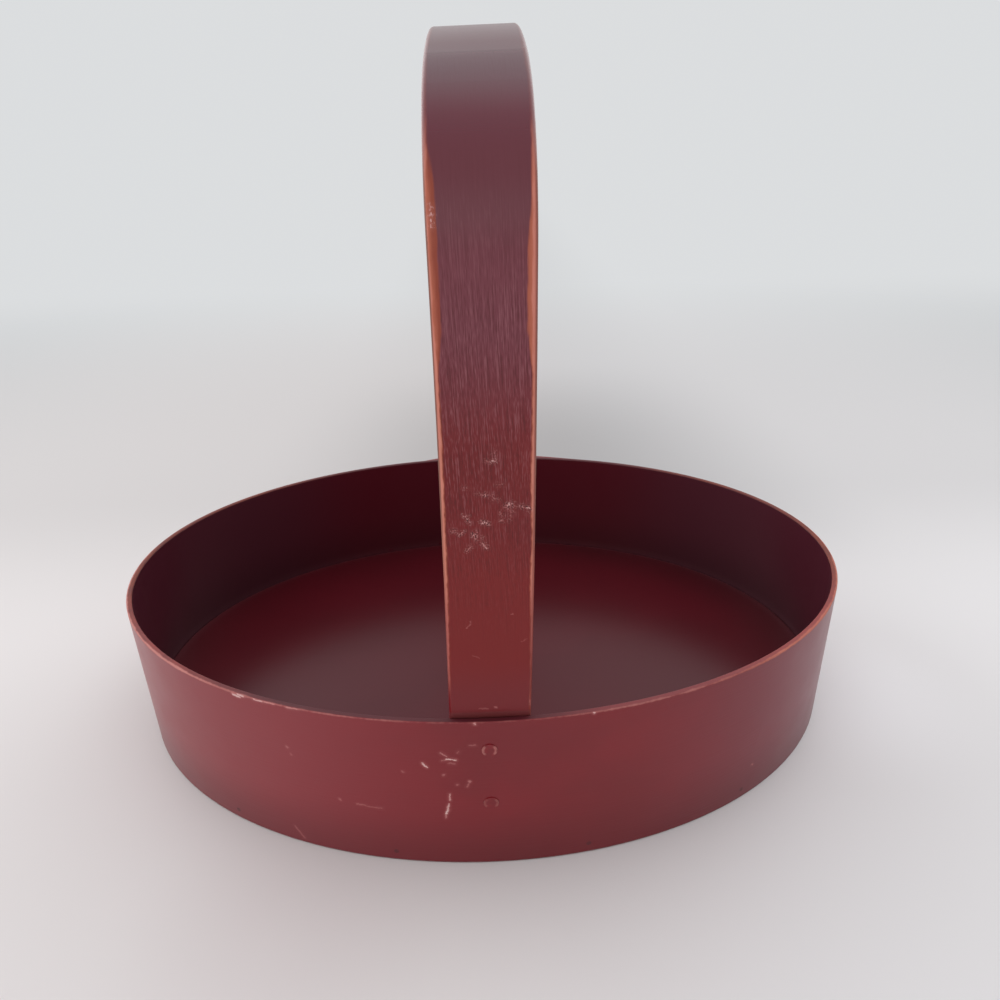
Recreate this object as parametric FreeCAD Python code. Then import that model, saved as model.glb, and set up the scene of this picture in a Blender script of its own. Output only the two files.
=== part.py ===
"""Shaker oval carrier: a bent-wood box with a fixed bail handle.

Frame: millimetres, +Z up, the origin at the centre of the oval on the surface that the box stands
on. X runs along the oval, Y across it, and the front is -Y.
"""
import FreeCAD, Part
import math
import os

from FreeCAD import Vector

# ---- driving dimensions (mm) ----

# The side band: one strip bent into an oval ring that laps over its own end at the back
BOX_LENGTH = 304.8
BOX_WIDTH = 221.0
WALL_HEIGHT = 63.5
WALL = 2.2
RIM_ROUND = 0.5

# The lap, measured along X from the middle of the back: where the strip starts to climb onto the
# ring, how long the climb is, and how far the finger tips reach
LAP_BEHIND = 56.0
LAP_CLIMB = 34.0
LAP_AHEAD = 64.0

# The fingers that the lap's end is cut into
FINGER_COUNT = 3
FINGER_LENGTH = 42.0
FINGER_GAP = 2.4
FINGER_TIP = 6.4
FINGER_TIP_ROUND = 2.0
FINGER_BULGE = 1.0

# The bottom board
BOARD_THICKNESS = 8.4
BOARD_FIT = 0.1
BOARD_ROUND = 0.4

# The handle: one strip bent into two legs, corners, shoulders and a crown, sized on its outer
# face. The crown's arc ends and the shoulders start so far in from the legs
HANDLE_HEIGHT = 262.2
HANDLE_WIDTH = 26.1
HANDLE_THICKNESS = 3.3
HANDLE_ROUND = 1.1
LEAN_DEGREES = 1.9
KNEE_RADIUS = 260.0
CORNER_RADIUS = 40.0
SHOULDER_RADIUS = 70.0
SHOULDER_INSET = 29.0
CROWN_RADIUS = 242.0
HANDLE_FIT = 0.05
HANDLE_FOOT_GAP = 0.8

# Seen from the front the strip bows to the right: an arc that is upright at this height and has
# the strip's middle over the box's middle half way between the rivets. The crown slopes up to the
# right
BOW_RADIUS = 6700.0
BOW_UPRIGHT = 222.0
CROWN_SLOPE_DEGREES = 1.3

# The rivets through band and handle, with their heads outside and burrs inside
RIVET_BELOW_RIM = 11.6
RIVET_SPACING = 23.2
RIVET_SHANK = 2.6
RIVET_HEAD = 5.0
RIVET_HEAD_SUNK = 0.3
RIVET_HEAD_PROUD = 0.25
RIVET_PEEN = 3.8
RIVET_PEEN_HEIGHT = 0.7
BURR_DIAMETER = 6.6
BURR_THICKNESS = 0.9

# The wooden pegs through band and board
PEG_COUNT = 14
PEG_DIAMETER = 1.8
PEG_DEPTH = 11.0

# The tacks through the fingers
TACK_SHANK = 1.2
TACK_HEAD = 3.2
TACK_HEAD_SUNK = 0.2
TACK_HEAD_PROUD = 0.2
TACK_CLINCH = 2.2
TACK_CLINCH_SUNK = 0.3
TACK_CLINCH_PROUD = 0.1
TACK_FROM_TIP = 7.0
TACK_FROM_ROOT = 5.0

# ---- what follows from them ----

HALF_LENGTH = BOX_LENGTH / 2
HALF_WIDTH = BOX_WIDTH / 2
UP = Vector(0, 0, 1)
FRONT = Vector(0, -1, 0)
BACK = Vector(0, 1, 0)

# Cutting tools reach this far past what they cut, and two lengths this close are the same
REACH = 1.0
SAME = 0.001

# The oval's faces meet midway between two pegs, near the right end and again half way round
HALF_TURN = math.pi
SEAM = HALF_TURN / 2 + 2 * HALF_TURN * round(PEG_COUNT * 0.75) / PEG_COUNT

# The lap's outer face is a smooth curve through this many places
LAP_PLACES = 15

RIVET_HEIGHTS = [
    WALL_HEIGHT - RIVET_BELOW_RIM,
    WALL_HEIGHT - RIVET_BELOW_RIM - RIVET_SPACING,
]

# The bow's centre stands far to the left, level with the height where the strip is upright
BOW_CENTRE = -math.sqrt(BOW_RADIUS**2 - (BOW_UPRIGHT - sum(RIVET_HEIGHTS) / 2) ** 2)

# The handle's outer face stands where the foot's left corner meets the curve of the wall
LEG_FOOT = BOARD_THICKNESS + HANDLE_FOOT_GAP
FOOT_CORNER = BOW_CENTRE + math.sqrt(
    (BOW_RADIUS - HANDLE_WIDTH / 2) ** 2 - (BOW_UPRIGHT - LEG_FOOT) ** 2
)
LEG_FACE = (HALF_WIDTH - WALL) * math.sqrt(
    1 - (FOOT_CORNER / (HALF_LENGTH - WALL)) ** 2
) - HANDLE_FIT
FINGER_ROOT = FINGER_LENGTH - LAP_AHEAD
FINGER_WIDTH = (WALL_HEIGHT - (FINGER_COUNT - 1) * FINGER_GAP) / FINGER_COUNT
FINGER_LOW_EDGES = [step * (FINGER_WIDTH + FINGER_GAP) for step in range(FINGER_COUNT)]


# ---- the oval ----


def oval_arc(inset, height, first, last):
    """The oval's edge between two angles, INSET inside the band's outer face."""
    ring = Part.Ellipse(Vector(0, 0, height), HALF_LENGTH - inset, HALF_WIDTH - inset)
    return Part.ArcOfEllipse(ring, first, last).toShape()


def oval(inset, bottom, top):
    """A solid oval between two heights, INSET inside the band's outer face."""
    halves = [
        oval_arc(inset, bottom, SEAM, SEAM + HALF_TURN),
        oval_arc(inset, bottom, SEAM + HALF_TURN, SEAM + 2 * HALF_TURN),
    ]
    return Part.Face(Part.Wire(halves)).extrude(UP * (top - bottom))


def on_oval(angle):
    """A point of the band's outer face at height 0, and the outward direction there."""
    point = Vector(HALF_LENGTH * math.cos(angle), HALF_WIDTH * math.sin(angle), 0)
    outward = Vector(math.cos(angle) / HALF_LENGTH, math.sin(angle) / HALF_WIDTH, 0)
    return point, outward.normalize()


def behind(x):
    """The oval's angle at X on the back half."""
    return math.acos(x / HALF_LENGTH)


def edges_at(solid, height):
    """The solid's edges that lie flat at a height."""
    return [
        edge
        for edge in solid.Edges
        if abs(edge.BoundBox.ZMin - height) < SAME and abs(edge.BoundBox.ZMax - height) < SAME
    ]


# ---- the side band ----


def lap_lift(x):
    """How far the lap's outer face stands off the ring at X: a smooth climb, then one wall."""
    climbed = min(1.0, (LAP_BEHIND - x) / LAP_CLIMB)
    return WALL * climbed * climbed * (3 - 2 * climbed)


def lapped_oval():
    """The band's outer shape, filled: the ring with the lap on its back, before the fingers."""
    first = behind(LAP_BEHIND)
    last = behind(-LAP_AHEAD)
    places = []
    for step in range(LAP_PLACES):
        point, outward = on_oval(first + (last - first) * step / (LAP_PLACES - 1))
        places.append(point + outward * lap_lift(point.x))
    last_point, last_outward = on_oval(last)
    lap = Part.BSplineCurve()
    lap.interpolate(
        Points=places,
        InitialTangent=UP.cross(on_oval(first)[1]),
        FinalTangent=UP.cross(last_outward),
    )
    outline = [
        lap.toShape(),
        Part.LineSegment(places[-1], last_point).toShape(),
        oval_arc(0, 0, last, SEAM),
        oval_arc(0, 0, SEAM, first + 2 * HALF_TURN),
    ]
    solid = Part.Face(Part.Wire(outline)).extrude(UP * WALL_HEIGHT)
    rims = edges_at(solid, 0) + edges_at(solid, WALL_HEIGHT)
    return solid.makeFillet(RIM_ROUND, [edge for edge in rims if edge.Length > 2 * WALL])


def finger(low):
    """One finger's outline, seen from behind, as a prism: LOW is its lower edge at the root."""
    middle = low + FINGER_WIDTH / 2
    tip_start = FINGER_TIP_ROUND - LAP_AHEAD
    half_tip = FINGER_TIP / 2
    bow = (FINGER_WIDTH / 2 + half_tip) / 2 + FINGER_BULGE
    half_way = (FINGER_ROOT + tip_start) / 2

    def at(x, up):
        return Vector(x, 0, middle + up)

    sides = [
        Part.LineSegment(at(FINGER_ROOT, -FINGER_WIDTH / 2), at(FINGER_ROOT, FINGER_WIDTH / 2)),
        Part.Arc(at(FINGER_ROOT, FINGER_WIDTH / 2), at(half_way, bow), at(tip_start, half_tip)),
        Part.Arc(at(tip_start, half_tip), at(-LAP_AHEAD, 0), at(tip_start, -half_tip)),
        Part.Arc(at(tip_start, -half_tip), at(half_way, -bow), at(FINGER_ROOT, -FINGER_WIDTH / 2)),
    ]
    return Part.Face(Part.Wire([side.toShape() for side in sides])).extrude(BACK * BOX_WIDTH)


def between_fingers():
    """What is cut off the lap's end to leave the fingers: all round them, and a round slot end."""
    block = Part.makeBox(
        FINGER_LENGTH + REACH,
        HALF_WIDTH + WALL + REACH,
        WALL_HEIGHT + 2 * REACH,
        Vector(-LAP_AHEAD - REACH, 0, -REACH),
    )
    waste = block.cut([finger(low) for low in FINGER_LOW_EDGES])
    slot_ends = [
        Part.makeCylinder(
            FINGER_GAP / 2,
            HALF_WIDTH + WALL + REACH,
            Vector(FINGER_ROOT, 0, low - FINGER_GAP / 2),
            BACK,
        )
        for low in FINGER_LOW_EDGES[1:]
    ]
    ring = oval(0, 0, WALL_HEIGHT)
    ring = ring.makeFillet(RIM_ROUND, edges_at(ring, 0) + edges_at(ring, WALL_HEIGHT))
    return waste.fuse(slot_ends).cut(ring)


def side_band(filled):
    """The band: its filled outer shape made hollow, with the inner corner of the rim rounded."""
    band = filled.cut(oval(WALL, -REACH, WALL_HEIGHT + REACH))
    inner_rim = []
    for edge in edges_at(band, WALL_HEIGHT):
        middle = edge.valueAt(sum(edge.ParameterRange) / 2)
        share = math.hypot(middle.x / (HALF_LENGTH - WALL), middle.y / (HALF_WIDTH - WALL))
        if abs(share - 1) < SAME:
            inner_rim.append(edge)
    return band.makeFillet(RIM_ROUND, inner_rim)


# ---- the bottom board ----


def bottom_board():
    """An oval disc that fills the band's foot, flush with its lower edge."""
    board = oval(WALL + BOARD_FIT, 0, BOARD_THICKNESS)
    return board.makeFillet(BOARD_ROUND, edges_at(board, BOARD_THICKNESS))


# ---- the handle ----


def handle_face(depth):
    """One long face of the handle's strip, DEPTH under its outer face, as edges seen from +X.

    The front leg stands straight against the wall, turns outwards at the knee above the rim,
    leans, and goes through a corner and a shoulder into the crown. The back leg mirrors it.
    """
    lean = math.radians(LEAN_DEGREES)
    leaning = Vector(0, -math.sin(lean), math.cos(lean))
    inward = Vector(0, math.cos(lean), math.sin(lean))
    foot = Vector(0, depth - LEG_FACE, LEG_FOOT - REACH)
    knee = Vector(0, depth - LEG_FACE, WALL_HEIGHT)
    knee_centre = Vector(0, -LEG_FACE - KNEE_RADIUS, WALL_HEIGHT)
    knee_end = knee_centre + inward * (KNEE_RADIUS + depth)
    knee_middle = knee_centre + Vector(0, math.cos(lean / 2), math.sin(lean / 2)) * (
        KNEE_RADIUS + depth
    )

    # The shoulder's circle touches the crown's from inside
    shoulder = math.asin((LEG_FACE - SHOULDER_INSET) / CROWN_RADIUS)
    crown_centre = Vector(0, 0, HANDLE_HEIGHT - CROWN_RADIUS)
    towards_shoulder = Vector(0, -math.sin(shoulder), math.cos(shoulder))
    shoulder_centre = crown_centre + towards_shoulder * (CROWN_RADIUS - SHOULDER_RADIUS)
    shoulder_end = shoulder_centre + towards_shoulder * (SHOULDER_RADIUS - depth)
    top = crown_centre + UP * (CROWN_RADIUS - depth)

    # The corner's circle touches the leaning face and, from inside, the shoulder's circle
    start = knee_centre + inward * (KNEE_RADIUS + CORNER_RADIUS)
    along = (start - shoulder_centre).dot(leaning)
    across = (start - shoulder_centre).dot(inward)
    rise = math.sqrt((SHOULDER_RADIUS - CORNER_RADIUS) ** 2 - across**2) - along
    corner_centre = start + leaning * rise
    towards_corner = (corner_centre - shoulder_centre).normalize()
    corner_start = corner_centre - inward * (CORNER_RADIUS - depth)
    corner_middle = corner_centre + (towards_corner - inward).normalize() * (CORNER_RADIUS - depth)
    corner_end = corner_centre + towards_corner * (CORNER_RADIUS - depth)
    shoulder_middle = shoulder_centre + (towards_corner + towards_shoulder).normalize() * (
        SHOULDER_RADIUS - depth
    )

    def across_box(point):
        return Vector(0, -point.y, point.z)

    front = [
        Part.LineSegment(foot, knee),
        Part.Arc(knee, knee_middle, knee_end),
        Part.LineSegment(knee_end, corner_start),
        Part.Arc(corner_start, corner_middle, corner_end),
        Part.Arc(corner_end, shoulder_middle, shoulder_end),
    ]
    back = [
        Part.Arc(across_box(shoulder_end), across_box(shoulder_middle), across_box(corner_end)),
        Part.Arc(across_box(corner_end), across_box(corner_middle), across_box(corner_start)),
        Part.LineSegment(across_box(corner_start), across_box(knee_end)),
        Part.Arc(across_box(knee_end), across_box(knee_middle), across_box(knee)),
        Part.LineSegment(across_box(knee), across_box(foot)),
    ]
    crown = Part.Arc(shoulder_end, top, across_box(shoulder_end))
    return [curve.toShape() for curve in front + [crown] + back]


def bowed_band():
    """The strip seen from the front: the band between its two bowed sides, through the box."""
    low = LEG_FOOT
    high = HANDLE_HEIGHT + REACH

    def side(radius):
        def at(height):
            across = math.sqrt(radius**2 - (height - BOW_UPRIGHT) ** 2)
            return Vector(BOW_CENTRE + across, -BOX_WIDTH, height)

        return Part.Arc(at(low), at((low + high) / 2), at(high))

    left = side(BOW_RADIUS - HANDLE_WIDTH / 2)
    right = side(BOW_RADIUS + HANDLE_WIDTH / 2)
    outline = [
        left.toShape(),
        Part.LineSegment(left.EndPoint, right.EndPoint).toShape(),
        right.toShape(),
        Part.LineSegment(right.StartPoint, left.StartPoint).toShape(),
    ]
    return Part.Face(Part.Wire(outline)).extrude(BACK * 2 * BOX_WIDTH)


def handle():
    """The strip between its outer and inner faces, bowed, with its four long corners rounded."""
    outer = handle_face(0)
    inner = handle_face(HANDLE_THICKNESS)
    feet = []
    for side in (-1, 1):
        foot_outer = Vector(0, side * LEG_FACE, LEG_FOOT - REACH)
        foot_inner = Vector(0, side * (LEG_FACE - HANDLE_THICKNESS), LEG_FOOT - REACH)
        feet.append(Part.LineSegment(foot_outer, foot_inner).toShape())
    outline = Part.Wire(Part.__sortEdges__(outer + inner + feet))
    across = Vector(HANDLE_WIDTH, 0, HANDLE_WIDTH * math.tan(math.radians(CROWN_SLOPE_DEGREES)))
    strip = Part.Face(outline).extrude(across * 2)
    strip.translate(across * -1)
    strip = strip.common(bowed_band())
    corners = [
        edge
        for edge in strip.Edges
        if edge.BoundBox.XLength < HANDLE_WIDTH / 2 and edge.Length > 2 * HANDLE_THICKNESS
    ]
    return strip.makeFillet(HANDLE_ROUND, corners)


# ---- rivets, burrs, tacks and pegs ----


def rod(diameter, point, direction, near, far):
    """A round rod on a line through POINT, from NEAR to FAR along DIRECTION."""
    return Part.makeCylinder(diameter / 2, far - near, point + direction * near, direction)


def rivets(outward, seat):
    """The two rivets of one leg: a head at SEAT from the middle, a shank and a peened end."""
    burr_top = LEG_FACE - HANDLE_THICKNESS - BURR_THICKNESS
    made = []
    for height in RIVET_HEIGHTS:
        centre = Vector(0, 0, height)
        head = rod(RIVET_HEAD, centre, outward, seat - RIVET_HEAD_SUNK, seat + RIVET_HEAD_PROUD)
        shank = rod(RIVET_SHANK, centre, outward, burr_top, seat)
        peen = rod(RIVET_PEEN, centre, outward, burr_top - RIVET_PEEN_HEIGHT, burr_top)
        made.append(head.fuse([shank, peen]).removeSplitter())
    return made


def burrs(outward):
    """The two burrs of one leg, flat on the strip's inner face under the peened ends."""
    face = LEG_FACE - HANDLE_THICKNESS
    made = []
    for height in RIVET_HEIGHTS:
        centre = Vector(0, 0, height)
        disc = rod(BURR_DIAMETER, centre, outward, face - BURR_THICKNESS, face)
        made.append(disc.cut(rod(RIVET_SHANK, centre, outward, 0, face + REACH)))
    return made


def finger_tacks():
    """Two tacks in each finger, near its tip and its root, clinched on the inside."""
    made = []
    for low in FINGER_LOW_EDGES:
        for x in (TACK_FROM_TIP - LAP_AHEAD, FINGER_ROOT - TACK_FROM_ROOT):
            point, outward = on_oval(behind(x))
            centre = point + UP * (low + FINGER_WIDTH / 2)
            head = rod(TACK_HEAD, centre, outward, WALL - TACK_HEAD_SUNK, WALL + TACK_HEAD_PROUD)
            shank = rod(TACK_SHANK, centre, outward, -WALL, WALL)
            clinch = rod(
                TACK_CLINCH, centre, outward, -WALL - TACK_CLINCH_PROUD, TACK_CLINCH_SUNK - WALL
            )
            made.append(head.fuse([shank, clinch]).removeSplitter())
    return made


def bottom_pegs(filled):
    """Pegs from the band's outer face into the board's edge, trimmed flush with that face."""
    made = []
    for number in range(PEG_COUNT):
        point, outward = on_oval(SEAM + 2 * HALF_TURN * (number + 0.5) / PEG_COUNT)
        centre = point + UP * (BOARD_THICKNESS / 2)
        blank = rod(PEG_DIAMETER, centre, outward, -WALL - PEG_DEPTH, WALL + REACH)
        made.append(blank.common(filled))
    return made


# ---- assembly ----


def build():
    """Every node: the wooden pieces are bored by the fasteners that go through them."""
    filled = lapped_oval().cut(between_fingers())
    pegs = bottom_pegs(filled)
    tacks = finger_tacks()
    front_rivets = rivets(FRONT, HALF_WIDTH)
    back_rivets = rivets(BACK, HALF_WIDTH + WALL)
    return {
        "side_band": side_band(filled).cut(pegs + tacks + front_rivets + back_rivets),
        "bottom_board": bottom_board().cut(pegs),
        "handle": handle().cut(front_rivets + back_rivets),
        "front_rivets": Part.makeCompound(front_rivets),
        "back_rivets": Part.makeCompound(back_rivets),
        "front_burrs": Part.makeCompound(burrs(FRONT)),
        "back_burrs": Part.makeCompound(burrs(BACK)),
        "bottom_pegs": Part.makeCompound(pegs),
        "finger_tacks": Part.makeCompound(tacks),
    }


os.makedirs("parts", exist_ok=True)
for name, shape in build().items():
    shape.exportStep("parts/" + name + ".step")
    print(name, len(shape.Solids), "solids", round(shape.Volume, 1), "mm3", shape.isValid())
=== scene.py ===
import math

import bpy
from mathutils import Matrix, Vector


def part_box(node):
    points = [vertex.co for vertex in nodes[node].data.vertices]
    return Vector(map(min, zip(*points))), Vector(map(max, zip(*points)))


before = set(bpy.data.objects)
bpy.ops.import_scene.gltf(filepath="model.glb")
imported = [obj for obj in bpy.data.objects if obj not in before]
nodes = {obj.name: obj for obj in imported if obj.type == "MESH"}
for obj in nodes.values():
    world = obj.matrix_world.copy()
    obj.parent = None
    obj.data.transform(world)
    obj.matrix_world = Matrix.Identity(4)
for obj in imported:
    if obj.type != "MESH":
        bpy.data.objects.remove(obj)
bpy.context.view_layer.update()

# ---- the room ----
# A pale table top that fades into a white room, and a camera close in front of the box that looks
# down into it. The light is soft: low from the front and the left, strongest from the white wall
# behind, and a little from above.

MM = 0.001
CAMERA_PLACE = Vector((1.25, -294.2, 228.6)) * MM
CAMERA_PITCH = 25.5
CAMERA_HEADING = 1.24
CAMERA_ROLL = -1.31
CAMERA_LENS = 27.04
CAMERA_SENSOR = 36.0
CAMERA_NEAR = 0.01

camera_data = bpy.data.cameras.new("camera")
camera_data.lens = CAMERA_LENS
camera_data.sensor_width = CAMERA_SENSOR
camera_data.clip_start = CAMERA_NEAR
camera = bpy.data.objects.new("camera", camera_data)
bpy.context.scene.collection.objects.link(camera)
camera.matrix_world = (
    Matrix.Translation(CAMERA_PLACE)
    @ Matrix.Rotation(math.radians(-CAMERA_HEADING), 4, "Z")
    @ Matrix.Rotation(math.radians(90 - CAMERA_PITCH), 4, "X")
    @ Matrix.Rotation(math.radians(CAMERA_ROLL), 4, "Z")
)
bpy.context.scene.camera = camera
bpy.context.scene.view_settings.view_transform = "Standard"


class Recipe:
    """Nodes that work a colour or a value out, step by step."""

    def __init__(self, tree):
        self.tree = tree

    def node(self, kind, feeds=(), **settings):
        """A node of this KIND. FEEDS gives its sockets a value or another node's result."""
        made = self.tree.nodes.new(kind)
        for name, value in settings.items():
            setattr(made, name, value)
        for socket, value in feeds:
            if isinstance(value, bpy.types.NodeSocket):
                self.tree.links.new(value, made.inputs[socket])
            else:
                made.inputs[socket].default_value = value
        return made

    def calc(self, operation, first, second=0.0, third=0.0):
        feeds = [(0, first), (1, second), (2, third)]
        return self.node("ShaderNodeMath", feeds, operation=operation).outputs[0]

    def times(self, first, *others):
        for other in others:
            first = self.calc("MULTIPLY", first, other)
        return first

    def plus(self, base, value, gain):
        """BASE, with VALUE times GAIN added."""
        return self.calc("MULTIPLY_ADD", value, gain, base)

    def minus(self, first, second):
        return self.calc("SUBTRACT", first, second)

    def larger(self, first, second):
        return self.calc("MAXIMUM", first, second)

    def unsigned(self, value):
        return self.calc("ABSOLUTE", value)

    def dot(self, first, second):
        feeds = [(0, first), (1, second)]
        made = self.node("ShaderNodeVectorMath", feeds, operation="DOT_PRODUCT")
        return made.outputs["Value"]

    def over(self, share, under, laid):
        """The colour UNDER, with LAID over it by SHARE."""
        feeds = [(0, share), (6, under), (7, laid)]
        return self.node("ShaderNodeMix", feeds, data_type="RGBA").outputs[2]


# Where each light stands, seen from the box, how narrow it is, and how bright
ROOM_LIGHTS = {
    "front": ((0.0, -1.0, 0.15), 5, 1.05),
    "front_left": ((-0.6, -0.8, 0.12), 10, 0.95),
    "left": ((-1.0, 0.0, 0.12), 5, 1.25),
    "back_left": ((-0.7, 0.7, 0.12), 5, 2.35),
    "back_right": ((0.7, 0.7, 0.12), 5, 2.05),
    "top_right": ((0.7, 0.0, 0.7), 4, 0.40),
    "top": ((0.0, 0.0, 1.0), 4, 1.20),
}
WALL_WHITE = (0.712, 0.726, 0.738, 1)

room = bpy.data.worlds.new("white_room")
bpy.context.scene.world = room
room.use_nodes = True
air = Recipe(room.node_tree)
direction = air.node("ShaderNodeTexCoord").outputs["Generated"]
total = 0.0
for place, narrowness, strength in ROOM_LIGHTS.values():
    towards = air.larger(air.dot(direction, Vector(place).normalized()), 0.0)
    total = air.plus(total, air.calc("POWER", towards, narrowness), strength)

# The camera sees the room's walls evenly white, whatever light comes from them
seen_by_camera = air.node("ShaderNodeLightPath").outputs["Is Camera Ray"]
glow = air.over(seen_by_camera, total, WALL_WHITE)
air.tree.links.new(glow, air.tree.nodes["Background"].inputs["Color"])


class Finish(Recipe):
    """One finish: its colour, gloss and relief follow the place on the piece, in millimetres."""

    def __init__(self, name, roughness):
        self.material = bpy.data.materials.new(name)
        self.material.use_nodes = True
        super().__init__(self.material.node_tree)
        self.shader = self.tree.nodes["Principled BSDF"]
        self.shader.inputs["Roughness"].default_value = roughness
        objects_own = self.node("ShaderNodeTexCoord").outputs["Object"]
        self.place = self.vector("MULTIPLY", objects_own, (1 / MM, 1 / MM, 1 / MM))
        self.x, self.y, self.z = self.split(self.place)
        self.facing = self.split(self.node("ShaderNodeNewGeometry").outputs["Normal"])

    def split(self, vector):
        return self.node("ShaderNodeSeparateXYZ", [(0, vector)]).outputs

    def join(self, x, y, z=0.0):
        return self.node("ShaderNodeCombineXYZ", [(0, x), (1, y), (2, z)]).outputs[0]

    def vector(self, operation, first, second):
        made = self.node("ShaderNodeVectorMath", [(0, first), (1, second)], operation=operation)
        return made.outputs["Vector"]

    def length(self, vector):
        made = self.node("ShaderNodeVectorMath", [(0, vector)], operation="LENGTH")
        return made.outputs["Value"]

    def noise(self, sizes, detail=2.0, place=None, output=0):
        """Random values about 0.5, in patches as large as SIZES in mm along each axis."""
        rates = tuple(1 / size for size in sizes)
        spot = self.vector("MULTIPLY", place or self.place, rates)
        feeds = [(0, spot), ("Scale", 1.0), ("Detail", detail)]
        return self.node("ShaderNodeTexNoise", feeds).outputs[output]

    def fade(self, value, start, end):
        """0 as far as START, 1 from END on, and smooth between."""
        feeds = [("Value", value), ("From Min", start), ("From Max", end)]
        made = self.node("ShaderNodeMapRange", feeds, interpolation_type="SMOOTHSTEP")
        return made.outputs["Result"]

    def colour(self, value):
        self.tree.links.new(value, self.shader.inputs["Base Color"])

    def gloss(self, value):
        self.tree.links.new(value, self.shader.inputs["Roughness"])

    def relief(self, height, depth):
        """Raises the surface by HEIGHT, 0 to 1, times DEPTH in mm."""
        bump = self.node("ShaderNodeBump", [("Height", height), ("Distance", depth * MM)])
        self.tree.links.new(bump.outputs[0], self.shader.inputs["Normal"])


# The table top is painted darker behind the box: a painted shade and painted shadow for the box and
# handle, which the box itself does not cast. A painted pool of light lies right of the box, a
# painted shadow before its left.
# From FADE_START to FADE_END, in mm from the box's middle, it turns into the white of the wall.
FLOOR_SIZE = 12.0
FLOOR_BELOW = 0.0002
FLOOR_ROUGHNESS = 0.6
FLOOR_WHITE = (0.80, 0.765, 0.768, 1)
FLOOR_COOL = (0.80, 0.783, 0.798, 1)
FLOOR_PAINTED_LIGHT = (0.885, 0.875, 0.90, 1)
FLOOR_PAINTED_SHADOW = (0.765, 0.72, 0.725, 1)
FLOOR_SHADE = 0.19
FADE_START = 350.0
FADE_END = 1100.0
COOL_X = (-50.0, 140.0)
PAINTED_LIGHT_PLACE = (163.0, -30.0, 0.0)
PAINTED_LIGHT_REACH = (62.0, 8.0)
PAINTED_SHADOW_PLACE = (-72.0, -138.0, 0.0)
PAINTED_SHADOW_REACH = (60.0, 10.0)
BEHIND_Y = (20.0, 210.0)
BEHIND_X = (1500.0, 700.0)
BOX_SHADE = 0.34
BOX_SHADE_X = 48.0
BOX_SHADE_WIDTH = (235.0, 10.0)
BOX_SHADE_NEAR = (60.0, 150.0)
BOX_SHADE_FAR = (560.0, 270.0)
BOX_SHADE_BEYOND = 0.22
BLACK = (0.0, 0.0, 0.0, 1)

bpy.ops.object.select_all(action="DESELECT")
bpy.ops.mesh.primitive_plane_add(size=FLOOR_SIZE, location=(0, 0, -FLOOR_BELOW))
floor = bpy.context.object
floor.name = "table_top"
table = Finish("pale_table", FLOOR_ROUGHNESS)
painted_shade_behind = table.times(table.fade(table.y, *BEHIND_Y), table.fade(table.y, FADE_END, FADE_START))
painted_shade_behind = table.times(painted_shade_behind, table.fade(table.unsigned(table.x), *BEHIND_X))
beside = table.unsigned(table.minus(table.x, BOX_SHADE_X))
painted_box_shadow = table.plus(BOX_SHADE_BEYOND, table.fade(table.y, *BOX_SHADE_FAR), 1 - BOX_SHADE_BEYOND)
painted_box_shadow = table.times(
    painted_box_shadow, table.fade(beside, *BOX_SHADE_WIDTH), table.fade(table.y, *BOX_SHADE_NEAR)
)
# Painted shading: the painted shade behind the box and the box's painted shadow darken the table
# and the wall's white
painted_shading = table.times(table.plus(1.0, painted_shade_behind, -FLOOR_SHADE), table.plus(1.0, painted_box_shadow, -BOX_SHADE))
# A painted pool of light to the right of the box, and a painted shadow in front of its left side
from_painted_light = table.length(table.vector("SUBTRACT", table.place, PAINTED_LIGHT_PLACE))
from_painted_shadow = table.length(table.vector("SUBTRACT", table.place, PAINTED_SHADOW_PLACE))
white = table.over(table.fade(table.x, *COOL_X), FLOOR_WHITE, FLOOR_COOL)
white = table.over(table.fade(from_painted_light, *PAINTED_LIGHT_REACH), white, FLOOR_PAINTED_LIGHT)
white = table.over(table.fade(from_painted_shadow, *PAINTED_SHADOW_REACH), white, FLOOR_PAINTED_SHADOW)
table.colour(table.over(painted_shading, BLACK, white))
haze = table.node("ShaderNodeEmission", [("Color", WALL_WHITE), ("Strength", painted_shading)])
blend_share = table.fade(table.length(table.place), FADE_START, FADE_END)
feeds = [(0, blend_share), (1, table.shader.outputs[0]), (2, haze.outputs[0])]
mixed = table.node("ShaderNodeMixShader", feeds)
table.tree.links.new(mixed.outputs[0], table.tree.nodes["Material Output"].inputs["Surface"])
floor.data.materials.append(table.material)
bpy.ops.object.select_all(action="DESELECT")

# ---- the side band ----
# One thin strip of hardwood, steamed and bent once round, its lap cut into fingers at the back.
# It is painted barn red inside and out, and rubbed through along the outer corner of its rim, with
# a painted highlight along that corner too.

RED = (0.215, 0.0050, 0.0115, 1)
RED_CLOUD = (0.185, 0.0042, 0.0100, 1)
RED_LIT_LEFT = (0.258, 0.0240, 0.0330, 1)
RED_SHEEN_RIGHT = (0.197, 0.0145, 0.0290, 1)
RED_SHADED_LOW = (0.110, 0.0030, 0.0080, 1)
RED_INSIDE = (0.087, 0.0046, 0.0115, 1)
RED_INSIDE_SHEEN = (0.078, 0.0130, 0.0235, 1)
PALE_WEAR_AND_HIGHLIGHT = (0.56, 0.215, 0.190, 1)
RIGHT_WEAR_AND_HIGHLIGHT = (0.53, 0.155, 0.110, 1)
RIM_BROWN = (0.235, 0.050, 0.030, 1)
RIM_RED = (0.235, 0.033, 0.038, 1)
RIM_WORN = (0.330, 0.062, 0.055, 1)
DUST = (0.200, 0.085, 0.100, 1)
PAINTED_SHADE_DARK = (0.030, 0.0040, 0.0070, 1)
SCUFFED = (0.62, 0.225, 0.215, 1)
CHIPPED = (0.70, 0.46, 0.44, 1)
SATIN = 0.31

# Between which values of a noise one colour gives way softly to another
CLOUDY = (0.35, 0.65)

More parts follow.
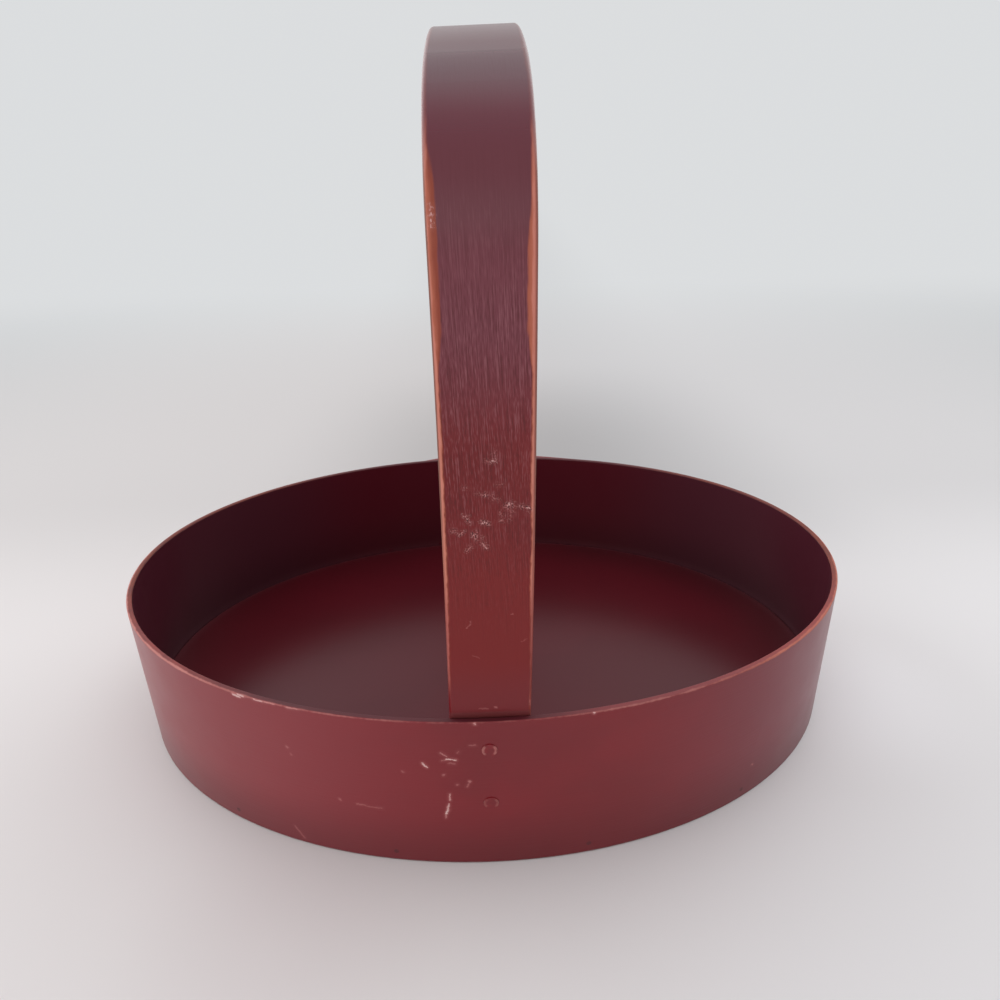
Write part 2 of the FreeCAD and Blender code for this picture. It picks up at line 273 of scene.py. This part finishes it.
# Between which places, in mm, the band's paint and its wear change
INSIDE_DEPTH = (0.8, 1.5)
LIT_LEFT_X = (0.0, -75.0)
LIT_LEFT_Y = (0.0, -40.0)
SHEEN_RIGHT_X = (40.0, 125.0)
LOW_SHADE_Z = (34.0, 6.0)
INNER_SHADE_Z = (36.0, 14.0)
CORNER_DUST_HEIGHT = 5.0
TOWARDS_END = (60.0, 125.0)
OFF_MIDDLE = (10.0, 45.0)
BY_THE_ENDS = (88.0, 108.0)
BACK_Y = (0.0, 50.0)
FRONT_Y = (-15.0, -60.0)
FRONT_RIGHT_X = (12.0, 45.0)
RUBBED_RIGHT_X = (60.0, 100.0)
RIM_TOP = (0.60, 0.20)
RIM_TOP_DEPTH = (0.2, 0.6)
CORNER_LINE = (0.30, -0.26)

# Each scuff on the front runs from X, Z to X, Z, in mm, and is so wide and so strong
BAND_SCUFFS = [
    (-15.8, 50.9, -14.0, 49.4, 0.30, 0.55),
    (-14.2, 48.2, -11.1, 48.0, 0.38, 1.00),
    (-10.5, 51.0, -10.0, 51.6, 0.25, 0.30),
    (-15.5, 47.5, -14.2, 47.9, 0.30, 0.40),
    (-13.6, 46.6, -11.4, 46.2, 0.30, 0.30),
    (-22.0, 46.2, -20.8, 44.7, 0.38, 0.95),
    (-15.3, 41.4, -15.3, 41.2, 0.42, 0.40),
    (-11.1, 37.2, -11.0, 37.0, 0.42, 0.40),
    (-6.9, 38.5, -6.8, 38.3, 0.50, 0.55),
    (-7.0, 38.3, -7.7, 36.1, 0.35, 0.35),
    (-13.7, 32.9, -13.9, 29.9, 0.36, 0.70),
    (-14.2, 28.3, -14.7, 25.5, 0.34, 0.80),
    (-14.7, 25.5, -15.3, 23.7, 0.45, 1.00),
    (-15.4, 23.7, -15.6, 21.8, 0.42, 0.60),
    (-6.4, 54.0, -4.6, 54.2, 0.30, 0.30),
    (-28.8, 42.3, -28.7, 42.1, 0.36, 0.35),
    (-52.1, 26.0, -52.0, 25.8, 0.46, 0.40),
    (-46.0, 25.0, -42.9, 24.9, 0.40, 0.30),
    (-42.9, 24.6, -37.3, 24.3, 0.30, 0.25),
    (-68.6, 45.5, -68.5, 45.3, 0.42, 0.50),
    (-67.5, 42.6, -67.4, 42.4, 0.40, 0.30),
    (-71.2, 7.1, -68.1, 2.2, 0.35, 0.30),
    (98.6, 14.7, 98.9, 14.3, 0.36, 0.50),
    (-4.5, 63.1, -4.4, 62.9, 0.48, 0.80),
    (33.7, 63.2, 33.9, 63.1, 0.50, 1.00),
    (-85.7, 62.7, -83.5, 62.3, 0.60, 1.00),
    (-84.0, 63.3, -81.8, 63.1, 0.50, 0.90),
    (-78.0, 63.3, -74.7, 63.2, 0.40, 0.80),
    (-73.9, 63.4, -70.6, 63.4, 0.36, 0.60),
    (-65.7, 63.2, -62.2, 63.3, 0.36, 0.60),
]
SCUFF_NEARBY = (1.5, 0.3)
SCUFF_SHAKE = 1.1
SCUFF_RAGGED = 0.9

band_low, band_high = [Vector(corner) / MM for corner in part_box("side_band")]
half_length = band_high.x
half_width = -band_low.y
rim = band_high.z
board_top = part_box("bottom_board")[1][2] / MM


def oval_share(finish):
    """How far from the oval's middle a point is: 0 there, and 1 at the band's outer face."""
    flat = finish.vector("MULTIPLY", finish.place, (1 / half_length, 1 / half_width, 0))
    return finish.length(flat)


def scuffs(finish, marks, spread):
    """Where the front is scuffed dry and pale, 0 to 1, and how near a scuff is, 0 to 1."""
    front = finish.fade(finish.facing["Y"], -0.35, -0.6)
    front = finish.times(front, finish.fade(finish.y, 0.0, -5.0))
    ragged = finish.minus(finish.noise((0.45, 0.45, 0.45), detail=3.0), 0.5)
    shaken = finish.vector("SUBTRACT", finish.noise((1.6, 1.6, 1.6), output=1), (0.5, 0.5, 0.5))
    shaken = finish.vector("MULTIPLY", shaken, (SCUFF_SHAKE, SCUFF_SHAKE, SCUFF_SHAKE))
    spot = finish.vector("ADD", finish.place, shaken)
    spot = finish.vector("MULTIPLY", spot, (1, 0, 1))
    worst = nearby = 0.0
    for x, z, to_x, to_z, width, strength in marks:
        start = Vector((x, 0, z))
        run = Vector((to_x, 0, to_z)) - start
        from_start = finish.vector("SUBTRACT", spot, start)
        along = finish.dot(from_start, run / run.length_squared)
        along = finish.node("ShaderNodeClamp", [(0, along)]).outputs[0]
        nearest = finish.node(
            "ShaderNodeVectorMath", [(0, run), ("Scale", along)], operation="SCALE"
        ).outputs[0]
        away = finish.length(finish.vector("SUBTRACT", from_start, nearest))
        close = finish.times(finish.fade(away, *SCUFF_NEARBY), strength)
        nearby = finish.larger(close, nearby)
        scraped = finish.fade(finish.plus(away, ragged, SCUFF_RAGGED), width * spread, 0.0)
        worst = finish.larger(finish.times(scraped, strength), worst)
    return finish.times(worst, front), finish.times(nearby, front)


def wear(finish, *names):
    """Gives each named piece this finish alone."""
    for name in names:
        nodes[name].data.materials.clear()
        nodes[name].data.materials.append(finish.material)


# The depth below the band's outer face is near enough the share that is left of the oval,
# divided by how steeply the share grows there
band = Finish("painted_band", SATIN)
share = oval_share(band)
steep = band.length(
    band.vector("MULTIPLY", band.place, (1 / half_length**2, 1 / half_width**2, 0))
)
depth = band.calc("DIVIDE", band.times(share, band.minus(1.0, share)), steep)
below_rim = band.minus(rim, band.z)
from_middle = band.unsigned(band.x)

# Outside, the front left is painted lighter and greyer, a painted light and sheen from the left;
# the right end is painted greyer, a painted sheen; and low down it is painted darker, a painted
# shade
clouds = band.noise((55, 55, 34), detail=3.0)
paint = band.over(band.fade(clouds, *CLOUDY), RED, RED_CLOUD)
blend_share = band.times(band.fade(band.x, *LIT_LEFT_X), band.fade(band.y, *LIT_LEFT_Y))
paint = band.over(blend_share, paint, RED_LIT_LEFT)
paint = band.over(band.fade(band.x, *SHEEN_RIGHT_X), paint, RED_SHEEN_RIGHT)
painted_shade = band.fade(band.plus(band.z, clouds, 10.0), *LOW_SHADE_Z)
paint = band.over(band.times(painted_shade, 0.52), paint, RED_SHADED_LOW)

# Inside it is darker, and towards the ends painted greyer, a painted sheen. Low down inside a
# painted shade darkens it, and a little dust lies in its corner with the board
inside = band.fade(depth, *INSIDE_DEPTH)
towards_end = band.fade(from_middle, *TOWARDS_END)
paint = band.over(inside, paint, band.over(towards_end, RED_INSIDE, RED_INSIDE_SHEEN))
painted_shade_inside = band.times(inside, band.fade(band.z, *INNER_SHADE_Z))
paint = band.over(band.times(painted_shade_inside, 0.26), paint, PAINTED_SHADE_DARK)
in_corner = band.times(inside, band.fade(band.z, board_top + CORNER_DUST_HEIGHT, board_top))
paint = band.over(band.times(in_corner, 0.12), paint, DUST)

# Towards the ends the rim's top is worn to brown, and its outer corner pale, in a line that widens
# and breaks. The pale line is worn paint and in part a painted highlight along the rounded corner.
# In the middle the line is thin and dull.
patchy = band.noise((9, 9, 9), detail=4.0)
fine = band.noise((1.3, 1.3, 0.8), detail=3.0)
to_corner = band.length(band.join(depth, below_rim))
off_middle = band.fade(from_middle, *OFF_MIDDLE)
reach = band.plus(0.24, off_middle, 0.08)
reach = band.plus(reach, towards_end, 0.26)
reach = band.plus(reach, band.minus(patchy, 0.5), 1.0)
reach = band.plus(reach, band.minus(fine, 0.5), 0.7)
corner = band.fade(band.minus(to_corner, reach), *CORNER_LINE)
strong = band.plus(0.24, off_middle, 0.26)
strong = band.plus(strong, band.fade(from_middle, *BY_THE_ENDS), 0.45)
at_back = band.fade(band.y, *BACK_Y)
corner = band.times(corner, strong, band.plus(1.0, at_back, -0.75))
on_top = band.fade(below_rim, *RIM_TOP)
brown = band.times(towards_end, band.plus(0.45, band.fade(patchy, 0.3, 0.6), 0.40))
brown = band.times(brown, band.plus(1.0, at_back, -0.25))
at_front = band.fade(band.y, *FRONT_Y)
front_right = band.times(at_front, band.fade(band.x, *FRONT_RIGHT_X))
paint = band.over(band.times(on_top, band.fade(depth, *RIM_TOP_DEPTH)), paint, RED_INSIDE)
paint = band.over(band.times(on_top, front_right, 0.85), paint, RIM_RED)
paint = band.over(band.times(on_top, brown), paint, band.over(at_front, RIM_BROWN, RIM_WORN))
rim_wear_and_highlight = band.over(band.fade(band.x, *RUBBED_RIGHT_X), PALE_WEAR_AND_HIGHLIGHT, RIGHT_WEAR_AND_HIGHLIGHT)
paint = band.over(corner, paint, rim_wear_and_highlight)
rubbed = band.larger(corner, band.times(on_top, brown))

scuffed, near_scuffs = scuffs(band, BAND_SCUFFS, 1.6)
paint = band.over(band.times(near_scuffs, 0.14), paint, SCUFFED)
paint = band.over(scuffed, paint, SCUFFED)
paint = band.over(band.fade(scuffed, 0.45, 0.95), paint, CHIPPED)
band.colour(paint)

# Worn places are duller, and lie a little lower than the brush marks of the paint round them
wearing = band.larger(rubbed, scuffed)
uneven = band.noise((16, 16, 12), detail=2.0)
gloss = band.plus(SATIN - 0.05, uneven, 0.10)
gloss = band.plus(gloss, wearing, 0.22)
band.gloss(band.plus(gloss, on_top, 0.25))
brushed = band.noise((26, 26, 0.7), detail=3.0)
band.relief(band.plus(band.times(brushed, 0.25), wearing, -0.5), 0.12)
wear(band, "side_band")

# ---- the bottom board and its pegs ----
# An oval board let in flush with the band's lower edge and held by small wooden pegs driven in
# through the band. The board is painted like the band's inside, and its grain runs along the
# oval. The pegs' ends have darkened.

RED_BOARD = (0.096, 0.0042, 0.0100, 1)
RED_BOARD_CLOUD = (0.087, 0.0038, 0.0090, 1)
BOARD_TINT = (1.0, 0.92, 0.97, 1)
PEG_DARK = (0.070, 0.004, 0.007, 1)
UNDERNEATH = (-0.3, -0.8)
ON_TOP = (0.3, 0.8)
EDGE_SHADE_OUTWARDS = (0.76, 0.95)
EDGE_SHADE_X = (10.0, 80.0)
EDGE_OUTWARDS = (0.950, 0.985)

board = Finish("painted_board", SATIN - 0.03)
board.shader.inputs["Specular Tint"].default_value = BOARD_TINT
clouds = board.noise((60, 40, 40), detail=3.0)
grain = board.noise((40, 1.1, 40), detail=3.0)
paint = board.over(board.fade(clouds, *CLOUDY), RED_BOARD, RED_BOARD_CLOUD)
scraped = board.fade(board.noise((70, 3, 40), detail=4.0), 0.55, 0.68)
scraped = board.times(board.fade(board.facing["Z"], *UNDERNEATH), scraped)
paint = board.over(board.times(scraped, 0.5), paint, PALE_WEAR_AND_HIGHLIGHT)
outwards = oval_share(board)
# Towards its edge on the right the board is painted darker, a painted shade by the band
painted_shade = board.times(board.fade(outwards, *EDGE_SHADE_OUTWARDS), board.fade(board.x, *EDGE_SHADE_X))
paint = board.over(board.times(painted_shade, 0.22), paint, PAINTED_SHADE_DARK)
edge = board.times(board.fade(outwards, *EDGE_OUTWARDS), board.fade(board.facing["Z"], *ON_TOP))
board.colour(board.over(board.times(edge, 0.12), paint, DUST))
board.relief(board.times(grain, 0.5), 0.03)
wear(board, "bottom_board")

pegs = Finish("painted_pegs", SATIN + 0.1)
end_grain = pegs.noise((0.5, 0.5, 0.5), detail=3.0)
# The pegs take the band's darker low red, a painted shade, mottled darker at their ends
pegs.colour(pegs.over(pegs.fade(end_grain, *CLOUDY), RED_SHADED_LOW, PEG_DARK))
pegs.relief(end_grain, 0.08)
wear(pegs, "bottom_pegs")

# ---- the handle ----
# One thick strip bent into a bail, its two legs against the band's inner face. Hands have rubbed
# its long corners through to the orange ground, and its open grain has filled with pale dust. Along
# the corners a painted highlight and painted shade lie with the wear, and up the strip its colour
# holds painted sheen.

HANDLE_RED = (0.182, 0.0012, 0.0020, 1)
HANDLE_RED_CLOUD = (0.160, 0.0010, 0.0030, 1)
HANDLE_LOW = (0.192, 0.0011, 0.0012, 1)
HANDLE_FOOT = (0.176, 0.0050, 0.0090, 1)
HANDLE_PURPLE_SHEEN = (0.170, 0.0310, 0.0480, 1)
HANDLE_TOP = (0.138, 0.0240, 0.0380, 1)
HANDLE_BEND = (0.120, 0.0070, 0.0240, 1)
HANDLE_CROWN_SHEEN = (0.142, 0.0640, 0.0820, 1)
HANDLE_CREST = (0.118, 0.0240, 0.0400, 1)
WORN_THIN = (0.500, 0.130, 0.072, 1)
WORN_DEEP = (0.290, 0.048, 0.022, 1)
BARE_AND_HIGHLIGHT = (0.640, 0.215, 0.160, 1)
WORN_SIDE_AND_SHADE = (0.150, 0.050, 0.028, 1)
WORN_BACK_AND_SHADE = (0.310, 0.070, 0.050, 1)
WORN_FOOT = (0.520, 0.125, 0.125, 1)
EDGE_DUST_AND_HIGHLIGHT = (0.360, 0.210, 0.225, 1)
GRAIN_DUST = (0.37, 0.140, 0.160, 1)
GRAIN_DARK = (0.070, 0.001, 0.002, 1)
CREVICE = (0.020, 0.0015, 0.0020, 1)
FOOT_CREASE_TONE = (0.150, 0.056, 0.056, 1)
HANDLE_SHINE = 0.43

# Between which two heights, in mm, each colour takes over from those before it. The colours are
# partly the paint's own tone and partly painted sheen and shade; the purple up the leg and the
# grey-pink over the crown are painted sheen.
HANDLE_TONES_AND_SHEEN = [
    (134.0, 112.0, HANDLE_LOW),
    (88.0, 70.0, HANDLE_FOOT),
    (150.0, 190.0, HANDLE_PURPLE_SHEEN),
    (200.0, 218.0, HANDLE_TOP),
    (224.0, 235.0, HANDLE_BEND),
    (234.0, 246.0, HANDLE_CROWN_SHEEN),
    (247.0, 252.5, HANDLE_CREST),
]

# Seen from the front the strip's middle is a wide arc, upright at one height, where it stands to
# the right of the box's middle. The bend's centre and radius unroll the strip for its grain.
BOW_RADIUS = 6700.0
BOW_UPRIGHT = 222.0
BOW_RIGHT = 2.46
HALF_STRIP = 13.05
BEND_CENTRE = 120.0
BEND_RADIUS = 115.0
GRAIN_LEAN = 0.045

# Between which two heights, in mm, the grain opens and closes, and the wear begins and ends
GRAIN_FOOT_Z = (78.0, 138.0)
GRAIN_TOP_Z = (228.0, 184.0)
DUSTIER_Z = (112.0, 158.0)
GRIP_FOOT_Z = (175.0, 189.0)
GRIP_TOP_Z = (230.0, 218.0)
GRIP_LOWER_RIGHT = 12.0
ABOVE_RIM_Z = (72.0, 118.0)
WIDER_Z = (128.0, 150.0)
SIDE_WORN_Z = (122.0, 145.0)
CROWN_Z = (219.0, 236.0)
LEFT_FOOT_Z = (70.0, 86.0)
LEFT_FULL_Z = (96.0, 122.0)
RIGHT_FOOT_Z = (84.0, 124.0)
BARE_FOOT_Z = (120.0, 98.0)
LEG_END_Z = (66.0, 64.8)
SPECKLED_Z = (116.0, 104.0)
PITTED_Z = (205.0, 195.0)
SLEEK_Z = (222.0, 236.0)

# As on the band
HANDLE_SCUFFS = [
    (2.0, 152.5, 3.3, 152.3, 0.26, 0.50),
    (3.1, 152.4, 4.3, 152.4, 0.32, 0.90),
    (4.2, 155.3, 4.0, 154.1, 0.24, 0.30),
    (-4.4, 144.8, -3.6, 144.7, 0.26, 0.40),
    (-0.9, 143.0, 1.2, 142.4, 0.22, 0.30),
    (1.1, 142.5, 1.3, 142.3, 0.32, 0.80),
    (4.4, 145.4, 5.8, 145.4, 0.24, 0.35),
    (3.3, 142.3, 3.6, 141.3, 0.26, 0.40),
    (3.0, 141.0, 5.1, 140.8, 0.22, 0.30),
    (7.2, 139.1, 8.6, 139.7, 0.36, 1.00),
    (8.6, 139.5, 9.1, 138.8, 0.28, 0.60),
    (6.5, 138.3, 8.7, 137.3, 0.50, 0.30),
    (10.7, 138.6, 11.5, 138.4, 0.30, 0.80),
    (12.6, 138.3, 13.3, 137.6, 0.32, 0.95),
    (5.4, 137.1, 5.8, 135.9, 0.24, 0.40),
    (5.2, 134.5, 5.7, 134.4, 0.30, 0.60),
    (8.2, 137.0, 7.7, 134.5, 0.24, 0.30),
    (-4.7, 136.2, -3.8, 136.0, 0.28, 0.80),
    (-4.0, 135.2, -3.5, 134.3, 0.30, 0.80),
    (0.4, 134.0, 1.6, 133.7, 0.36, 1.00),
    (-0.3, 134.6, -0.1, 134.4, 0.26, 0.50),
    (-8.1, 131.6, -7.7, 131.5, 0.30, 0.70),
    (-6.1, 130.6, -5.4, 131.2, 0.30, 0.85),
    (-2.4, 130.1, -1.5, 129.9, 0.34, 0.95),
    (-1.8, 129.5, -1.8, 128.5, 0.28, 0.60),
    (-1.5, 131.0, -1.4, 130.8, 0.26, 0.50),
    (-0.2, 129.5, -0.1, 129.2, 0.30, 0.60),
    (0.1, 127.5, 0.5, 126.9, 0.30, 0.85),
    (0.6, 126.5, 1.2, 125.8, 0.30, 0.85),
    (-3.0, 126.5, -4.5, 125.0, 0.26, 0.60),
    (7.9, 102.7, 8.4, 102.9, 0.26, 0.34),
    (-5.7, 98.3, -4.6, 99.3, 0.26, 0.34),
    (-4.6, 99.3, -4.4, 100.6, 0.26, 0.26),
    (10.8, 92.6, 12.2, 93.6, 0.24, 0.20),
    (-4.2, 88.0, -2.0, 86.9, 0.24, 0.20),
    (-2.6, 66.9, 0.0, 66.5, 0.44, 0.26),
    (2.2, 67.2, 2.8, 67.0, 0.50, 0.50),
    (13.2, 69.5, 13.4, 67.0, 0.34, 0.50),
    (-9.0, 215.4, -9.0, 214.1, 0.36, 1.00),
    (-9.1, 213.1, -9.1, 211.4, 0.36, 0.90),
]

bail = Finish("painted_handle", SATIN)
bail.shader.inputs["Specular IOR Level"].default_value = HANDLE_SHINE
climb = bail.minus(bail.z, BOW_UPRIGHT)
middle = bail.plus(BOW_RIGHT, bail.times(climb, climb), -0.5 / BOW_RADIUS)
across = bail.minus(bail.x, middle)
turn = bail.calc("ARCTAN2", bail.y, bail.minus(bail.z, BEND_CENTRE))
along = bail.times(turn, BEND_RADIUS)
strip_place = bail.join(across, along, bail.facing["X"])
clouds = bail.noise((30, 45, 8), detail=3.0, place=strip_place)
paint = bail.over(bail.fade(clouds, 0.3, 0.7), HANDLE_RED, HANDLE_RED_CLOUD)
# Up the strip the colour changes with height: the paint's tone, and in part painted sheen and shade
for start, end, laid in HANDLE_TONES_AND_SHEEN:
    paint = bail.over(bail.fade(bail.z, start, end), paint, laid)

# Hair-fine streaks of grain, as many dusty as dark, that fade out near the rim and the crown
leaning = bail.plus(across, along, GRAIN_LEAN)
wander = bail.plus(leaning, bail.noise((9, 30, 8), place=strip_place), 1.2)
grain_place = bail.join(wander, along, bail.facing["X"])
long_streaks = bail.noise((0.29, 11, 4), detail=0.0, place=grain_place)
short_streaks = bail.noise((0.27, 2.2, 3), detail=1.0, place=grain_place)
streaks = bail.times(bail.calc("ADD", long_streaks, short_streaks), 0.5)
gathered = bail.fade(bail.noise((6, 15, 8), detail=2.0, place=strip_place), 0.30, 0.60)
gathered = bail.plus(0.60, gathered, 0.40)
grain_zone = bail.times(bail.fade(bail.z, *GRAIN_FOOT_Z), bail.fade(bail.z, *GRAIN_TOP_Z))
dusty = bail.times(bail.fade(streaks, 0.50, 0.66), grain_zone, gathered)
dusty = bail.times(dusty, bail.plus(0.12, bail.fade(bail.z, *DUSTIER_Z), 0.25))
dark = bail.times(bail.fade(streaks, 0.50, 0.34), bail.larger(grain_zone, 0.15))
paint = bail.over(dusty, paint, GRAIN_DUST)
paint = bail.over(bail.times(dark, 0.50), paint, GRAIN_DARK)

# The long corners: bare and pale where they are sharpest, the pale in part a painted highlight on
# the rounding, then worn thin and brown, widest below the bend, where a hand grips, and ragged all
# the way.
# Each reach is in mm from the strip's edge.
patchy = bail.noise((3, 18, 6), detail=3.0, place=strip_place)
fine = bail.noise((0.8, 3, 3), detail=3.0, place=strip_place)
ragged = bail.plus(bail.minus(patchy, 0.5), bail.minus(fine, 0.5), 0.8)
on_right = bail.fade(across, -1.0, 1.0)
grip_top = bail.plus(bail.z, on_right, GRIP_LOWER_RIGHT)
gripped = bail.times(bail.fade(bail.z, *GRIP_FOOT_Z), bail.fade(grip_top, *GRIP_TOP_Z))
from_edge = bail.minus(HALF_STRIP, bail.unsigned(across))
bare_reach = bail.plus(-0.45, on_right, 0.65)
bare_reach = bail.plus(0.45, gripped, bare_reach)
bare_reach = bail.plus(bare_reach, bail.fade(bail.z, *ABOVE_RIM_Z), 0.45)
bare_reach = bail.plus(bare_reach, bail.fade(bail.z, *WIDER_Z), 0.20)
thin_reach = bail.plus(1.55, on_right, -0.75)
thin_reach = bail.plus(0.30, gripped, thin_reach)
beyond = bail.minus(bail.minus(from_edge, ragged), bare_reach)
deeper = bail.times(bail.calc("DIVIDE", beyond, thin_reach), bail.plus(1.4, on_right, -0.9))
thin = bail.fade(bail.minus(beyond, thin_reach), 0.34, -0.28)
bare_and_highlight = bail.fade(beyond, 0.30, -0.25)
bare_and_highlight = bail.times(bare_and_highlight, bail.plus(0.65, bail.fade(patchy, 0.25, 0.65), 0.35))

# The wear fades out towards the crown, and down the leg: to nothing by the rim on the left, and to
# a faint line on the right
crowned = bail.fade(bail.z, *CROWN_Z)
foot_left = bail.plus(0.60, bail.fade(bail.z, *LEFT_FULL_Z), 0.40)
foot_left = bail.times(bail.fade(bail.z, *LEFT_FOOT_Z), foot_left)
foot_right = bail.plus(0.24, bail.fade(bail.z, *RIGHT_FOOT_Z), 0.76)
feeds = [(0, on_right), (2, foot_left), (3, foot_right)]
worn = bail.node("ShaderNodeMix", feeds, data_type="FLOAT").outputs[0]
worn = bail.times(worn, bail.plus(1.0, crowned, -0.92))
paint = bail.over(bail.times(thin, worn), paint, bail.over(deeper, WORN_THIN, WORN_DEEP))
sharpest = bail.over(bail.fade(bail.z, *BARE_FOOT_Z), BARE_AND_HIGHLIGHT, WORN_FOOT)
paint = bail.over(bail.times(bare_and_highlight, worn), paint, sharpest)
# The right rounding and the faces turned away are painted brown: wear, and in part a painted shade
# away from the light
rounded = bail.times(on_right, bail.fade(from_edge, 0.95, 0.40))
paint = bail.over(bail.times(rounded, worn, 0.80), paint, WORN_BACK_AND_SHADE)
turned_away = bail.fade(bail.unsigned(bail.facing["X"]), 0.46, 0.76)
low_share = bail.plus(0.45, on_right, -0.30)
side_share = bail.plus(low_share, bail.fade(bail.z, *SIDE_WORN_Z), 0.40)
turned_away = bail.times(turned_away, side_share)
paint = bail.over(bail.times(turned_away, worn), paint, WORN_SIDE_AND_SHADE)
# Near the crown the edges are painted pale grey-pink: dust, and in part a painted highlight on the
# rounding
paint = bail.over(bail.times(bail.fade(from_edge, 1.1, 0.5), crowned, 0.45), paint, EDGE_DUST_AND_HIGHLIGHT)
rubbed = bail.times(bail.larger(thin, bare_and_highlight), worn)

# Where each leg goes down behind the rim, the face against the band is painted greyer brown, in the
# crease there
outwards = bail.fade(bail.times(bail.facing["Y"], bail.calc("SIGN", bail.y)), 0.2, 0.8)
against_band = bail.times(outwards, bail.fade(bail.z, *LEG_END_Z))
paint = bail.over(bail.times(against_band, 0.50), paint, FOOT_CREASE_TONE)

# Half-way up the leg the scuffs are broken up into flecks and pits, and low down they are lines
scuffed, near_scuffs = scuffs(bail, HANDLE_SCUFFS, 1.25)
speckled = bail.noise((0.42, 0.55, 0.42), detail=1.0, place=strip_place)
smooth_foot = bail.fade(bail.z, *SPECKLED_Z)
near_scuffs = bail.times(near_scuffs, bail.minus(1.0, smooth_foot))
scuffed = bail.times(scuffed, bail.larger(bail.fade(speckled, 0.40, 0.56), smooth_foot))
flecks = bail.times(bail.fade(speckled, 0.56, 0.62), near_scuffs)
pits = bail.times(bail.fade(speckled, 0.44, 0.38), near_scuffs, bail.fade(bail.z, *PITTED_Z))
paint = bail.over(bail.times(near_scuffs, 0.08), paint, SCUFFED)
paint = bail.over(bail.times(pits, 0.90), paint, CREVICE)
paint = bail.over(bail.times(flecks, 0.30), paint, CHIPPED)
paint = bail.over(bail.times(scuffed, 0.9), paint, SCUFFED)
paint = bail.over(bail.times(bail.fade(scuffed, 0.5, 1.0), 0.7), paint, CHIPPED)
bail.colour(paint)
wearing = bail.larger(rubbed, scuffed)
sleek = bail.plus(SATIN, bail.fade(bail.z, *SLEEK_Z), -0.05)
bail.gloss(bail.plus(sleek, wearing, 0.16))
grainy = bail.times(streaks, bail.plus(0.2, grain_zone, 0.8))
bail.relief(bail.plus(grainy, wearing, -0.3), 0.05)
wear(bail, "handle")

# ---- rivets, burrs and tacks ----
# Soft copper: the rivets' heads and the tacks were painted over with the box and have since been
# rubbed at their rims; the burrs and the peened ends inside are bare and dull.

COPPER = (0.42, 0.17, 0.09, 1)
COPPER_DULL = (0.16, 0.065, 0.04, 1)
COPPER_ROUGHNESS = 0.42
RED_LIT = (0.46, 0.060, 0.070, 1)
RING_INSIDE = 1.05
RING_OUTSIDE = 0.55

metal = Finish("dull_copper", COPPER_ROUGHNESS)
spots = metal.noise((1.2, 1.2, 1.2), detail=4.0)
metal.colour(metal.over(metal.fade(spots, *CLOUDY), COPPER, COPPER_DULL))
metal.gloss(metal.plus(0.28, spots, 0.25))
metal.relief(spots, 0.05)
metal.shader.inputs["Metallic"].default_value = 1.0
wear(metal, "front_burrs", "back_burrs")

# A ring is rubbed pale at the left and right of each head, most on the upper one
rivets_low, rivets_high = [Vector(corner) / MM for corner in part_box("front_rivets")]
half_head = rivets_high.x
upper_head = rivets_high.z - half_head
lower_head = rivets_low.z + half_head
heads = Finish("painted_heads", SATIN)
to_lower = heads.unsigned(heads.minus(heads.z, lower_head))
to_upper = heads.unsigned(heads.minus(heads.z, upper_head))
up = heads.calc("MINIMUM", to_lower, to_upper)
out = heads.length(heads.join(heads.x, up))
sideways = heads.fade(heads.calc("DIVIDE", up, out), 0.90, 0.60)
ring = heads.fade(out, half_head - RING_INSIDE, half_head - RING_OUTSIDE)
ring = heads.times(ring, sideways)
spots = heads.noise((0.8, 0.8, 0.8), detail=3.0)
worn = heads.times(ring, heads.fade(spots, 0.25, 0.50))
worn_share = heads.plus(0.24, heads.fade(heads.z, lower_head, upper_head), 0.26)
paint = heads.over(heads.fade(heads.noise((2, 2, 2)), 0.4, 0.6), RED, RED_CLOUD)
# The heads' upward faces are painted a lighter red, a painted highlight
paint = heads.over(heads.times(heads.fade(heads.facing["Z"], 0.2, 0.7), 0.2), paint, RED_LIT)
heads.colour(heads.over(heads.times(worn, worn_share), paint, PALE_WEAR_AND_HIGHLIGHT))
wear(heads, "front_rivets", "back_rivets")

tacks = Finish("painted_tacks", SATIN)
spots = tacks.noise((0.8, 0.8, 0.8), detail=3.0)
outside = tacks.fade(tacks.facing["Y"], 0.0, 0.3)
paint = tacks.over(outside, RED_INSIDE, RED)
worn = tacks.times(outside, tacks.fade(spots, 0.50, 0.65))
tacks.colour(tacks.over(tacks.times(worn, 0.6), paint, PALE_WEAR_AND_HIGHLIGHT))
tacks.relief(spots, 0.04)
wear(tacks, "finger_tacks")
